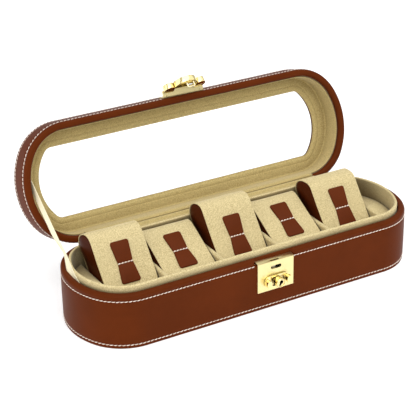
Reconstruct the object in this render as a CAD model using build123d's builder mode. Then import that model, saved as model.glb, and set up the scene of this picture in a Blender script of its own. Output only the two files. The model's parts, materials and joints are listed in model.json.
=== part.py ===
"""Leather watch box for five watches, with a windowed lid, a hasp lock and a ribbon stay.

Millimetres. +X runs along the box, +Y to the back, +Z up. The origin is the centre of the
underside. The box stands open: the lid leans back on its ribbon, and every piece of the
lid is drawn in the lid's own plane, which is turned back about the hinge line.
"""

import math
import os

from build123d import *

os.makedirs("parts", exist_ok=True)

# ---------------------------------------------------------------- driving dimensions
box_length = 340.0
box_width = 110.4
corner_radius = 44.0
end_radius = 67.6

leather = 1.2                    # thickness of the outer leather
shell_wall = 6.2                 # wooden wall of the base
base_stitch_z = 45.4             # upper saddle stitch of the base
foot_stitch_z = 3.4              # lower saddle stitch of the base
bead_bottom = 45.7               # rounded leather rim of the base
bead_top = 51.4
bead_width = 6.9
floor_top = 5.2

collar_inset = 7.5               # velour collar, standing proud of the rim
collar_wall = 2.5
collar_top = 56.3
pad_top = 7.2

slot_pitch = 56.8                # compartments for the cushions
slot_shift = 1.0
divider_wall = 4.5
divider_top = 39.5

lid_angle = 108.1                # how far the lid stands open
hinge_y = 56.76                  # line that the leather hinge bends about
hinge_z = 46.94
rim_joint_z = 57.0               # closed height of the lid's own zero plane
lid_bead = 5.3                   # the lid's rim reaches this far below its zero plane
lid_bead_width = 6.8
lid_wall = 5.6
lid_lining = 1.2
lid_board_low = 19.2
lid_board_top = 21.6
lid_top = 22.8
lining_panel = 0.8
window_inset = 22.1
window_corner = 9.0
window_end = 46.0
lining_window_gap = 1.1          # the lining is cut this much larger than the leather
pane_overlap = 5.0
pane_thickness = 1.2
lid_near_stitch = -0.5
lid_far_stitch = 18.8

thread_width = 0.8
thread_proud = 0.35

cushion_length = 50.4
tab_thickness = 1.5
tab_height = 36.5
tab_top_width = 17.7
tab_waist_width = 14.8
tab_foot_width = 18.4

lock_x = 3.8
hasp_x = 1.6                     # the hasp sits a little to the left of the lock
staple_x = 2.8
barrel_x = 4.2
plate_width = 37.2
plate_bottom = 18.7
plate_top = 46.8
plate_front = -57.0
lip_back = -51.0
lip_top = 47.9
slot_z = 41.6                    # mouth for the staple
barrel_z = 27.7
barrel_radius = 4.4
barrel_front = -65.2
plug_radius = 3.3
slide_travel = 3.0

flap_length = 20.7
flap_depth = 5.3
flap_open = 30.0                 # the sprung hasp stands off by this much
pin_y = -61.2                    # hasp hinge, closed
pin_height = 2.3                 # above the lid's zero plane
pin_radius = 0.8
knuckle_radius = 1.7

# ---------------------------------------------------------------- derived dimensions
half_length = box_length / 2
half_width = box_width / 2
front = -half_width
straight_half = (
    half_length - end_radius
    + math.sqrt((end_radius - corner_radius) ** 2 - (half_width - corner_radius) ** 2)
)
collar_back = half_width - collar_inset - collar_wall
lid_turn = math.radians(lid_angle)

# The lid's plane when open: x along the box, y towards the closed lid's back, z from the
# rim to the window.
lid_cos = math.cos(lid_turn)
lid_sin = math.sin(lid_turn)
rim_above_hinge = rim_joint_z - hinge_z
lid_origin = (
    0,
    hinge_y - hinge_y * lid_cos + rim_above_hinge * lid_sin,
    hinge_z + hinge_y * lid_sin + rim_above_hinge * lid_cos,
)
lid_frame = Plane(origin=lid_origin, x_dir=(1, 0, 0), z_dir=(0, lid_sin, lid_cos))


def lid_point(x, y, height):
    """A point of the closed lid, as (x, y, height over its zero plane), when open."""
    return lid_frame.from_local_coords((x, y, height))


def rounded_plan(half_x, half_y, corner, end, mode=Mode.ADD):
    """Straight sides, round corners and flatter round ends, all tangent."""
    end_x = half_x - end
    corner_y = half_y - corner
    corner_x = end_x + math.sqrt((end - corner) ** 2 - corner_y ** 2)
    meet = math.atan2(corner_y, corner_x - end_x)
    middle = (meet + math.pi / 2) / 2
    with BuildLine() as outline:
        for side_x in (1, -1):
            for side_y in (1, -1):
                ThreePointArc(
                    (side_x * corner_x, side_y * half_y),
                    (side_x * (corner_x + corner * math.cos(middle)),
                     side_y * (corner_y + corner * math.sin(middle))),
                    (side_x * (end_x + end * math.cos(meet)), side_y * end * math.sin(meet)),
                )
            ThreePointArc(
                (side_x * (end_x + end * math.cos(meet)), end * math.sin(meet)),
                (side_x * half_x, 0),
                (side_x * (end_x + end * math.cos(meet)), -end * math.sin(meet)),
            )
            Line((-corner_x, side_x * half_y), (corner_x, side_x * half_y))
    make_face(outline.edges(), mode=mode)


def plan(inset, mode=Mode.ADD):
    """The box's plan, the given distance inside its leather."""
    rounded_plan(half_length - inset, half_width - inset, corner_radius - inset,
                 end_radius - inset, mode)


def window_plan(larger, mode=Mode.ADD):
    """The window's outline, the given distance outside the opening in the leather."""
    rounded_plan(half_length - window_inset + larger, half_width - window_inset + larger,
                 window_corner + larger, window_end + larger, mode)


def ring(outer, inner):
    """A ring that follows the box's plan, between two insets."""
    plan(outer)
    plan(inner, Mode.SUBTRACT)


def save(part, name):
    """Label a finished piece and write it."""
    part.label = name
    export_step(part, f"parts/{name}.step")


# ---------------------------------------------------------------- base
lock_pocket_half = 17.4
lock_pocket_low = 19.0
lock_pocket_back = -49.9

with BuildPart() as base_shell:
    with BuildSketch(Plane.XY.offset(leather)):
        plan(leather)
    extrude(amount=floor_top - leather)
    with BuildSketch(Plane.XY.offset(floor_top)):
        ring(leather, leather + shell_wall)
    extrude(amount=bead_bottom - floor_top)
    with BuildSketch(Plane.XY.offset(lock_pocket_low)):
        with Locations((lock_x, lock_pocket_back)):
            Rectangle(2 * lock_pocket_half, 20, align=(Align.CENTER, Align.MAX))
    extrude(amount=50, mode=Mode.SUBTRACT)
save(base_shell.part, "base_shell")

with BuildPart() as base_leather:
    with BuildSketch():
        ring(0, leather)
    extrude(amount=bead_bottom)
    with BuildSketch(Plane.XY.offset(lock_pocket_low)):
        with Locations((lock_x, front)):
            Rectangle(2 * lock_pocket_half, 4 * leather)
    extrude(amount=50, mode=Mode.SUBTRACT)
save(base_leather.part, "base_leather")

with BuildPart() as base_underside:
    with BuildSketch():
        plan(leather)
    extrude(amount=leather)
save(base_underside.part, "base_underside")

bead_round = 2.6
lip_notch_half = plate_width / 2 + 0.5

with BuildPart() as base_rim_bead:
    with BuildSketch(Plane.XY.offset(bead_bottom)):
        ring(0, bead_width)
    extrude(amount=bead_top - bead_bottom)
    fillet(base_rim_bead.faces().sort_by(Axis.Z)[-1].edges(), radius=bead_round)
    with BuildSketch(Plane.XY.offset(bead_bottom)):
        with Locations((lock_x, lip_back + 0.6)):
            Rectangle(2 * lip_notch_half, 20, align=(Align.CENTER, Align.MAX))
    extrude(amount=20, mode=Mode.SUBTRACT)
save(base_rim_bead.part, "base_rim_bead")

with BuildPart() as base_stitching:
    for stitch_z in (foot_stitch_z, base_stitch_z):
        with BuildSketch(Plane.XY.offset(stitch_z - thread_width / 2)):
            ring(-thread_proud, 0)
            if stitch_z == base_stitch_z:
                with Locations((lock_x, front)):
                    Rectangle(plate_width + 1, 4, mode=Mode.SUBTRACT)
        extrude(amount=thread_width)
save(base_stitching.part, "base_stitching")

with BuildPart() as lining_collar:
    with BuildSketch(Plane.XY.offset(floor_top)):
        ring(collar_inset, collar_inset + collar_wall)
    extrude(amount=collar_top - floor_top)
    fillet(lining_collar.faces().sort_by(Axis.Z)[-1].edges(), radius=collar_wall / 2 - 0.2)
save(lining_collar.part, "lining_collar")

lining_gap = 0.2
tray_inset = collar_inset + collar_wall + lining_gap

with BuildPart() as floor_pad:
    with BuildSketch(Plane.XY.offset(floor_top)):
        plan(tray_inset)
    extrude(amount=pad_top - floor_top)
save(floor_pad.part, "floor_pad")

# Padded end platforms, which close the outer compartments.
platform_face = 2.5 * slot_pitch - divider_wall / 2
for side, name in ((-1, "platform_left"), (1, "platform_right")):
    with BuildPart() as platform:
        with BuildSketch(Plane.XY.offset(pad_top)):
            plan(tray_inset)
            with Locations((slot_shift + side * platform_face, 0)):
                Rectangle(2 * box_length, box_width, align=(
                    Align.MIN if side < 0 else Align.MAX, Align.CENTER),
                    mode=Mode.SUBTRACT)
        extrude(amount=divider_top - pad_top)
        fillet(platform.faces().sort_by(Axis.Z)[-1].edges(), radius=1.5)
    save(platform.part, name)

for number in range(1, 5):
    with BuildPart() as divider:
        with BuildSketch(Plane.XY.offset(pad_top)):
            with Locations((slot_shift + (number - 2.5) * slot_pitch, 0)):
                Rectangle(divider_wall, 2 * (collar_back - lining_gap))
        extrude(amount=divider_top - pad_top)
        fillet(divider.faces().sort_by(Axis.Z)[-1].edges().filter_by(Axis.Y), radius=1.8)
    save(divider.part, f"divider_{number}")


# ---------------------------------------------------------------- cushions
# Each roll is a rounded bag in section. The tall ones lean against the back wall, and the
# low ones lie flatter. Corners are (y, z) with their radii.
roll_back = 43.6
roll_bottom = pad_top + 0.3
tall_front = -26.6
tall_lean = 0.839                # how far the front face runs back for each unit of rise
low_section = (
    ((-34.0, roll_bottom), (-34.0, 21.8), (33.0, 56.3), (roll_back, 56.3), (roll_back, 32.0),
     (-3.2, roll_bottom)),
    (6.0, 7.0, 6.5, 7.0, 14.0, 12.0),
)
tall_top_corner = 1                                  # which corner ends the front face
low_top_corner = 2
end_shift = -3.6                                     # the rounded ends push cushions forward
cheek_depth = 1.6
cheek_inset = 1.0


def tall_section(top):
    """The bag of a tall cushion whose front face ends at the given height."""
    corners = ((tall_front, roll_bottom), (tall_front + tall_lean * (top - roll_bottom), top),
               (roll_back, top + 0.8), (roll_back, 50.0), (7.9, roll_bottom))
    return corners, (12.0, 11.0, 10.8, 16.0, 10.0)


cushions = (
    (1, tall_section(71.0), tall_top_corner, end_shift, -28.7),
    (2, low_section, low_top_corner, 0.0, -28.0),
    (3, tall_section(70.6), tall_top_corner, 0.0, -33.6),
    (4, low_section, low_top_corner, 0.0, -27.4),
    (5, tall_section(67.2), tall_top_corner, end_shift, -28.4),
)


def roll_profile(section, shift, smaller, mode=Mode.ADD):
    """A cushion's closed outline in the plane across the box."""
    corners, radii = section
    with BuildLine() as outline:
        FilletPolyline(*[(y + shift, z) for y, z in corners], radius=list(radii), close=True)
    face = make_face(outline.edges(), mode=Mode.PRIVATE)
    if smaller:
        offset(face, amount=-smaller, mode=mode)
    else:
        add(face, mode=mode)


for number, section, top_corner, shift, tab_middle in cushions:
    middle_x = slot_shift + (number - 3) * slot_pitch
    left_x = middle_x - cushion_length / 2
    with BuildPart() as roll:
        with BuildSketch(Plane.YZ.offset(left_x)):
            roll_profile(section, shift, 0)
        extrude(amount=cushion_length)
        with BuildSketch(Plane.YZ.offset(left_x), Plane.YZ.offset(left_x + cushion_length)):
            roll_profile(section, shift, cheek_inset)
        extrude(amount=cheek_depth, both=True, mode=Mode.SUBTRACT)
    save(roll.part, f"cushion_{number}_roll")

    with BuildPart() as cheeks:
        inner_x = left_x + cheek_depth
        with BuildSketch(Plane.YZ.offset(inner_x)):
            roll_profile(section, shift, cheek_inset + 0.1)
        extrude(amount=-leather)
        with BuildSketch(Plane.YZ.offset(left_x + cushion_length - cheek_depth)):
            roll_profile(section, shift, cheek_inset + 0.1)
        extrude(amount=leather)
    save(cheeks.part, f"cushion_{number}_cheeks")

    top_y, top_z = section[0][top_corner]
    low_y, low_z = section[0][top_corner - 1]
    run = math.hypot(top_y - low_y, top_z - low_z)
    up_y = (top_y - low_y) / run
    up_z = (top_z - low_z) / run
    face_plane = Plane(
        origin=(middle_x, top_y + shift + up_y * tab_middle, top_z + up_z * tab_middle),
        x_dir=(1, 0, 0),
        z_dir=(0, -up_z, up_y),
    )
    with BuildPart() as tab:
        with BuildSketch(face_plane):
            with BuildLine():
                Polyline(
                    (-tab_waist_width / 2, 0),
                    (-tab_top_width / 2, tab_height / 2),
                    (tab_top_width / 2, tab_height / 2),
                    (tab_waist_width / 2, 0),
                    (tab_foot_width / 2, -tab_height / 2),
                    (-tab_foot_width / 2, -tab_height / 2),
                    close=True,
                )
            make_face()
            fillet(vertices().group_by(Axis.Y)[-1], radius=1.8)
            fillet(vertices().group_by(Axis.Y)[0], radius=1.8)
        extrude(amount=tab_thickness)
    save(tab.part, f"cushion_{number}_tab")


# ---------------------------------------------------------------- lock, on the front wall
plate_half = plate_width / 2
slot_width = 10.8
slot_height = 3.4
slot_drop = 0.7                  # the staple swings in from below
ring_half = 7.6                  # the slider's window, which clears the barrel as it slides
wing_half = 12.8
lobe_x = 10.25
lobe_radius = 2.5
stem_radius = 1.2
wing_back = -57.3
wing_front = -58.9
lobe_front = -63.0
case_low = 19.6
case_top = 45.3
case_back = -50.1
case_wall = 0.8
latch_back = -53.3
latch_front = -54.4
latch_half = 1.9
cam_pin_radius = 1.0
cam_front = -53.0
cam_back = -52.0

with BuildPart() as lock_plate:
    with BuildSketch(Plane.YZ.offset(lock_x - plate_half)):
        with BuildLine():
            Polyline(
                (plate_front, plate_bottom),
                (plate_front, plate_top),
                (lip_back, lip_top),
                (lip_back + 0.5, lip_top - 0.8),
                (front, plate_top),
                (front, plate_bottom),
                close=True,
            )
        make_face()
    extrude(amount=plate_width)
    front_face = lock_plate.faces().sort_by(Axis.Y)[0]
    chamfer(front_face.edges().filter_by(Axis.Z), length=0.5)
    with BuildSketch(Plane.XZ.offset(-plate_front + 1)):
        with Locations((lock_x, slot_z - slot_drop)):
            SlotOverall(slot_width, slot_height)
        with Locations((barrel_x, barrel_z)):
            Circle(barrel_radius)
        for side in (-1, 1):
            with Locations((barrel_x + side * lobe_x + slide_travel / 2, barrel_z)):
                SlotOverall(slide_travel + 2 * stem_radius + 0.6, 2 * stem_radius + 0.6)
    extrude(amount=-4, mode=Mode.SUBTRACT)
    with BuildSketch(Plane.XY.offset(lip_top + 1)):
        with Locations((lock_x - 0.8, front)):
            SlotOverall(8.8, 1.9)
    extrude(amount=-3, mode=Mode.SUBTRACT)
save(lock_plate.part, "lock_plate")

with BuildPart() as lock_barrel:
    with BuildSketch(Plane.XZ.offset(-barrel_front)):
        with Locations((barrel_x, barrel_z)):
            Circle(barrel_radius)
            Circle(plug_radius + 0.06, mode=Mode.SUBTRACT)
    extrude(amount=barrel_front - latch_front + 0.4)
    chamfer(lock_barrel.faces().sort_by(Axis.Y)[0].edges().sort_by(SortBy.LENGTH)[-1], length=0.6)
save(lock_barrel.part, "lock_barrel")

keyhole_lean = -30

with BuildPart() as key_plug:
    with BuildSketch(Plane.XZ.offset(-barrel_front - 0.5)):
        with Locations((barrel_x, barrel_z)):
            Circle(plug_radius)
    extrude(amount=barrel_front - latch_front + 0.9)
    with BuildSketch(Plane.XZ.offset(-barrel_front)):
        with Locations(Location((barrel_x, barrel_z), keyhole_lean)):
            with Locations((0, 0.9)):
                Circle(1.8)
            with Locations((0, -1.15)):
                Rectangle(1.9, 2.9)
    extrude(amount=-6.5, mode=Mode.SUBTRACT)
save(key_plug.part, "key_plug")

with BuildPart() as lock_slider:
    with BuildSketch(Plane.XZ.offset(-wing_front)):
        with Locations((barrel_x, barrel_z)):
            SlotOverall(2 * wing_half, 2 * (barrel_radius + 1.5))
    extrude(amount=wing_front - wing_back)
    for side in (-1, 1):
        with BuildSketch(Plane.XZ.offset(-lobe_front)):
            with Locations((barrel_x + side * lobe_x, barrel_z)):
                Ellipse(lobe_radius, lobe_radius + 1.0)
        extrude(amount=lobe_front - wing_back)
        with BuildSketch(Plane.XZ.offset(-wing_back)):
            with Locations((barrel_x + side * lobe_x, barrel_z)):
                Circle(stem_radius)
        extrude(amount=wing_back - cam_front)
    with BuildSketch(Plane.XZ.offset(-cam_front)):
        with Locations((barrel_x, barrel_z)):
            Rectangle(2 * (lobe_x + stem_radius), 9.0)
        with Locations(Location((staple_x - slide_travel / 2, barrel_z), 45)):
            SlotOverall(7.2, 2 * cam_pin_radius + 0.2, mode=Mode.SUBTRACT)
    extrude(amount=cam_front - cam_back)
    with BuildSketch(Plane.XZ.offset(-lobe_front + 1)):
        with Locations((barrel_x, barrel_z)):
            SlotOverall(2 * ring_half, 2 * barrel_radius + 0.4)
    extrude(amount=lobe_front - 1 - wing_back - 0.5, mode=Mode.SUBTRACT)
save(lock_slider.part, "lock_slider")

latch_low = 25.2
latch_top = 43.0

with BuildPart() as lock_latch:
    with BuildSketch(Plane.XZ.offset(-latch_front)):
        with Locations((staple_x, latch_low)):
            Rectangle(2 * latch_half, latch_top - latch_low, align=(Align.CENTER, Align.MIN))
    extrude(amount=latch_front - latch_back)
    with BuildSketch(Plane.XZ.offset(-latch_back)):
        with Locations((staple_x, barrel_z + slide_travel / 2)):
            Circle(cam_pin_radius)
    extrude(amount=latch_back - cam_back + 0.1)
save(lock_latch.part, "lock_latch")

case_half = 17.2

with BuildPart() as lock_case:
    with BuildSketch(Plane.XZ.offset(-case_back)):
        with Locations((lock_x, case_low)):
            Rectangle(2 * case_half, case_top - case_low, align=(Align.CENTER, Align.MIN))
    extrude(amount=case_back - front)
    with BuildSketch(Plane.XZ.offset(-case_back + case_wall)):
        with Locations((lock_x, case_low + case_wall)):
            Rectangle(2 * (case_half - case_wall), case_top - case_low - 2 * case_wall,
                      align=(Align.CENTER, Align.MIN))
    extrude(amount=case_back - front, mode=Mode.SUBTRACT)
save(lock_case.part, "lock_case")

with BuildPart() as lock_rivets:
    with BuildSketch(Plane.XZ.offset(-front)):
        with Locations((lock_x, (case_low + case_top) / 2)):
            with GridLocations(2 * case_half - 3.5, case_top - case_low - 4, 2, 2):
                Circle(0.9)
    extrude(amount=front - case_back + case_wall)
save(lock_rivets.part, "lock_rivets")

spring_strip = 0.4
spring_start = barrel_x + lobe_x + stem_radius + 0.1
spring_end = lock_x + case_half - case_wall - 0.1

with BuildPart() as lock_spring:
    with BuildSketch(Plane.XZ.offset(-cam_front)):
        with BuildLine():
            Polyline(
                (spring_start + spring_strip / 2, barrel_z + 4.0),
                (spring_end - spring_strip / 2, barrel_z),
                (spring_start + spring_strip / 2, barrel_z - 4.0),
            )
        trace(line_width=spring_strip)
    extrude(amount=cam_front - cam_back)
save(lock_spring.part, "lock_spring")

# ---------------------------------------------------------------- hinge and ribbon
spine_half = 118.0
spine_thickness = 0.9
spine_low = 34.0
spine_leaves = 44.6              # where the strip leaves the back wall
spine_lid_end = 9.0
strip_half = 122.0
strip_thickness = 0.5


def across(points):
    """Drop the x of each point, for a sketch in the plane across the box."""
    return [(point.Y, point.Z) for point in points]


wall_gap = 0.05
lid_back = half_width + wall_gap
spine_path = [
    (half_width + spine_thickness / 2 + wall_gap, spine_low),
    (half_width + spine_thickness / 2 + wall_gap, spine_leaves),
] + across([
    lid_point(0, lid_back + spine_thickness / 2 + thread_proud, -lid_bead + 1.0),
    lid_point(0, lid_back + spine_thickness / 2, spine_lid_end),
])

with BuildPart() as hinge_spine:
    with BuildSketch(Plane.YZ.offset(-spine_half)):
        with BuildLine():
            FilletPolyline(*spine_path, radius=[2.5, 1.5])
        trace(line_width=spine_thickness)
    extrude(amount=2 * spine_half)
save(hinge_spine.part, "hinge_spine")

strip_rise = 0.1
strip_path = [
    (half_width - bead_width + 1.5, bead_top + strip_rise + strip_thickness / 2),
    (half_width - bead_round, bead_top + strip_rise + strip_thickness / 2),
] + across([
    lid_point(0, half_width - lid_bead_width / 2 - 1.0, -lid_bead - 1.2),
    lid_point(0, half_width - lid_bead_width - 0.2, -lid_bead - 0.6),
    lid_point(0, half_width - lid_bead_width - 0.6, -0.5),
])

with BuildPart() as hinge_lining:
    with BuildSketch(Plane.YZ.offset(-strip_half)):
        with BuildLine():
            FilletPolyline(*strip_path, radius=[2.0, 1.0, 0.6])
        trace(line_width=strip_thickness)
    extrude(amount=2 * strip_half)
save(hinge_lining.part, "hinge_lining")

ribbon_width = 10.0
ribbon_thickness = 0.4
ribbon_foot = Vector(-163.1, 4.7, bead_top + 0.1)
ribbon_head = lid_point(-161.1, -4.5, 1.5)
ribbon_run = ribbon_head - ribbon_foot
ribbon_across = ribbon_run.cross(Vector(1, 0, 0))

with BuildPart() as ribbon_stay:
    with BuildSketch(Plane(origin=ribbon_foot, x_dir=ribbon_across, z_dir=ribbon_run)):
        Rectangle(ribbon_width, ribbon_thickness)
    extrude(amount=ribbon_run.length)
    extrude(ribbon_stay.faces().sort_by(Axis.Z)[0], amount=ribbon_width)
    split(bisect_by=Plane.XY.offset(ribbon_foot.Z), keep=Keep.TOP)
save(ribbon_stay.part, "ribbon_stay")
print(f"ribbon free length {ribbon_run.length:.1f}")

# ---------------------------------------------------------------- lid
lining_top = lid_board_low - lining_panel
lining_inset = leather + lid_wall


def lid_height(face):
    """How far a face stands above the lid's zero plane."""
    return (face.center() - lid_frame.origin).dot(lid_frame.z_dir)


with BuildPart() as lid_shell:
    with BuildSketch(lid_frame):
        ring(leather, lining_inset)
    extrude(amount=lid_board_low)
    with BuildSketch(lid_frame.offset(lid_board_low)):
        plan(leather)
        window_plan(0, Mode.SUBTRACT)
    extrude(amount=lid_board_top - lid_board_low)
    with BuildSketch(lid_frame.offset(lid_board_low)):
        window_plan(pane_overlap + 0.1)
    extrude(amount=pane_thickness + 0.1, mode=Mode.SUBTRACT)
save(lid_shell.part, "lid_shell")

with BuildPart() as lid_leather:
    with BuildSketch(lid_frame):
        ring(0, leather)
    extrude(amount=lid_board_top)
save(lid_leather.part, "lid_leather")

with BuildPart() as lid_top_leather:
    with BuildSketch(lid_frame.offset(lid_board_top)):
        plan(0)
        window_plan(0, Mode.SUBTRACT)
    extrude(amount=lid_top - lid_board_top)
    top_face = lid_top_leather.faces().sort_by(lid_height)[-1]
    fillet(top_face.outer_wire().edges(), radius=0.9)
save(lid_top_leather.part, "lid_top_leather")

with BuildPart() as lid_rim_bead:
    with BuildSketch(lid_frame):
        ring(0, lid_bead_width)
    extrude(amount=-lid_bead)
    rim_face = lid_rim_bead.faces().sort_by(lid_height)[0]
    fillet(rim_face.edges(), radius=bead_round)
save(lid_rim_bead.part, "lid_rim_bead")

with BuildPart() as lid_wall_lining:
    with BuildSketch(lid_frame):
        ring(lining_inset, lining_inset + lid_lining)
    extrude(amount=lining_top)
save(lid_wall_lining.part, "lid_wall_lining")

with BuildPart() as lid_frame_lining:
    with BuildSketch(lid_frame.offset(lining_top)):
        plan(lining_inset)
        window_plan(lining_window_gap, Mode.SUBTRACT)
    extrude(amount=lining_panel)
save(lid_frame_lining.part, "lid_frame_lining")

with BuildPart() as window_pane:
    with BuildSketch(lid_frame.offset(lid_board_low + 0.05)):
        window_plan(pane_overlap)
    extrude(amount=pane_thickness)
save(window_pane.part, "window_pane")

hasp_half = 21.2

with BuildPart() as lid_stitching:
    for stitch_height in (lid_near_stitch, lid_far_stitch):
        with BuildSketch(lid_frame.offset(stitch_height - thread_width / 2)):
            ring(-thread_proud, 0)
            if stitch_height == lid_near_stitch:
                with Locations((hasp_x, front)):
                    Rectangle(2 * hasp_half + 1, 4, mode=Mode.SUBTRACT)
                with Locations((0, half_width)):
                    Rectangle(2 * spine_half + 1, 4, mode=Mode.SUBTRACT)
        extrude(amount=thread_width)
save(lid_stitching.part, "lid_stitching")

# ---------------------------------------------------------------- hasp
flange_low = -0.6
flange_high = 0.4
flange_edge = -61.9
leaf_thickness = 1.0
leaf_top = 9.0
cheek_near = 12.0
cheek_far = 18.0
spring_near = 6.4

with BuildPart() as hasp_bracket:
    with BuildSketch(lid_frame.offset(flange_low)):
        with Locations((hasp_x, front)):
            Rectangle(2 * hasp_half, front - flange_edge, align=(Align.CENTER, Align.MAX))
    extrude(amount=flange_high - flange_low)
    with BuildSketch(lid_frame.offset(flange_high)):
        with Locations((hasp_x, front)):
            Rectangle(2 * hasp_half, leaf_thickness, align=(Align.CENTER, Align.MAX))
    extrude(amount=leaf_top - flange_high)
    with BuildSketch(lid_frame.offset(flange_high)):
        for side in (-1, 1):
            with Locations((hasp_x + side * (cheek_near + cheek_far) / 2, front)):
                Rectangle(cheek_far - cheek_near, front - pin_y, align=(Align.CENTER, Align.MAX))
    extrude(amount=pin_height - flange_high)
    for side in (-1, 1):
        knuckle_x = hasp_x + side * (cheek_near + cheek_far) / 2
        across_lid = Plane(origin=lid_point(knuckle_x, pin_y, pin_height), x_dir=lid_frame.y_dir,
                           z_dir=(1, 0, 0))
        with BuildSketch(across_lid):
            Circle(knuckle_radius)
        extrude(amount=(cheek_far - cheek_near) / 2, both=True)
        with BuildSketch(across_lid):
            Circle(pin_radius)
        extrude(amount=cheek_far - cheek_near, both=True, mode=Mode.SUBTRACT)
save(hasp_bracket.part, "hasp_bracket")

pin_plane = Plane(origin=lid_point(hasp_x, pin_y, pin_height), x_dir=lid_frame.y_dir,
                  z_dir=(1, 0, 0))

with BuildPart() as hasp_pin:
    with BuildSketch(pin_plane):
        Circle(pin_radius)
    extrude(amount=cheek_far, both=True)
save(hasp_pin.part, "hasp_pin")

with BuildPart() as hasp_spring:
    for side in (-1, 1):
        with BuildSketch(pin_plane.offset(side * spring_near)):
            Circle(knuckle_radius - 0.15)
            Circle(pin_radius + 0.15, mode=Mode.SUBTRACT)
        extrude(amount=side * (cheek_near - spring_near - 0.3))
save(hasp_spring.part, "hasp_spring")

with BuildPart() as hasp_rivets:
    with BuildSketch(lid_frame.offset(flange_low)):
        for side in (-1, 1):
            with Locations((hasp_x + side * 17.4, front - 1.8)):
                Circle(0.8)
    extrude(amount=-0.25)
save(hasp_rivets.part, "hasp_rivets")

# The flap is drawn in its own frame: y towards the lock, z from its free end to the pin.
flap_turn = lid_turn + math.radians(flap_open)
flap_frame = Plane(origin=pin_plane.origin, x_dir=(1, 0, 0),
                   z_dir=(0, math.sin(flap_turn), math.cos(flap_turn)))
flap_wall = 0.9
bar_half = 18.2
lobe_middle = 16.0
lobe_drop = 7.5
flap_lobe = 5.3
belly_half = 12.0
belly_drop = 9.0
skirt_top = -3.2
flap_knuckle_half = 6.2


def flap_face(depth):
    """A plane parallel to the flap's front, the given distance towards the lock."""
    return Plane(origin=flap_frame.from_local_coords((0, depth, 0)), x_dir=(1, 0, 0),
                 z_dir=-flap_frame.y_dir)


def belly(half_x, half_z, middle):
    """The middle of the flap: straight down from the pin, with a round lower end."""
    Rectangle(2 * half_x, middle, align=(Align.CENTER, Align.MAX))
    with Locations((0, -middle)):
        Ellipse(half_x, half_z)


with BuildPart() as hasp_flap:
    with BuildSketch(flap_face(-knuckle_radius)):
        Rectangle(2 * bar_half, lobe_drop, align=(Align.CENTER, Align.MAX))
        with Locations((-lobe_middle, -lobe_drop), (lobe_middle, -lobe_drop)):
            Circle(flap_lobe)
        belly(belly_half, flap_length - belly_drop, belly_drop)
    extrude(amount=-flap_depth)
    with BuildSketch(flap_face(flap_wall - knuckle_radius)):
        belly(belly_half - flap_wall, flap_length - belly_drop - flap_wall, belly_drop)
    extrude(amount=-flap_depth, mode=Mode.SUBTRACT)
    with BuildSketch(flap_face(flap_wall - knuckle_radius)):
        with Locations((0, skirt_top)):
            Rectangle(3 * bar_half, 10, align=(Align.CENTER, Align.MIN))
    extrude(amount=-2 * flap_depth, mode=Mode.SUBTRACT)
    with BuildSketch(flap_face(-knuckle_radius - 1)):
        for side in (-1, 1):
            with Locations((side * flap_knuckle_half, skirt_top)):
                Rectangle(bar_half, 10, align=(Align.MIN if side > 0 else Align.MAX, Align.MIN))
    extrude(amount=-2 * flap_depth, mode=Mode.SUBTRACT)
    with BuildSketch(pin_plane):
        Circle(knuckle_radius)
    extrude(amount=flap_knuckle_half, both=True)
    with BuildSketch(pin_plane):
        Circle(pin_radius + 0.06)
    extrude(amount=2 * flap_knuckle_half, both=True, mode=Mode.SUBTRACT)
save(hasp_flap.part, "hasp_flap")

staple_half = 3.4
staple_radius = 0.6
staple_reach = 8.8
staple_drop = rim_joint_z + pin_height - slot_z
staple_root = flap_wall - knuckle_radius
staple_side = staple_x - hasp_x

with BuildPart() as hasp_staple:
    with BuildLine(Plane(origin=flap_frame.from_local_coords((staple_side, 0, -staple_drop)),
                         x_dir=(1, 0, 0), z_dir=flap_frame.z_dir)):
        FilletPolyline(
            (-staple_half, staple_root),
            (-staple_half, staple_reach),
            (staple_half, staple_reach),
            (staple_half, staple_root),
            radius=1.3,
        )
    with BuildSketch(Plane(
            origin=flap_frame.from_local_coords(
                (staple_side - staple_half, staple_root, -staple_drop)),
            x_dir=(1, 0, 0), z_dir=flap_frame.y_dir)):
        Circle(staple_radius)
    sweep()
save(hasp_staple.part, "hasp_staple")
print("hinge pivot", hinge_y, hinge_z, "hasp pin", pin_plane.origin)
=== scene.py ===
"""Looks for the watch box: leather, velour, gilt metal, stitching and soft cushions."""

import json
import math

import bmesh
import bpy
import numpy as np
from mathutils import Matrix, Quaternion, Vector, noise
from mathutils.bvhtree import BVHTree


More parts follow.
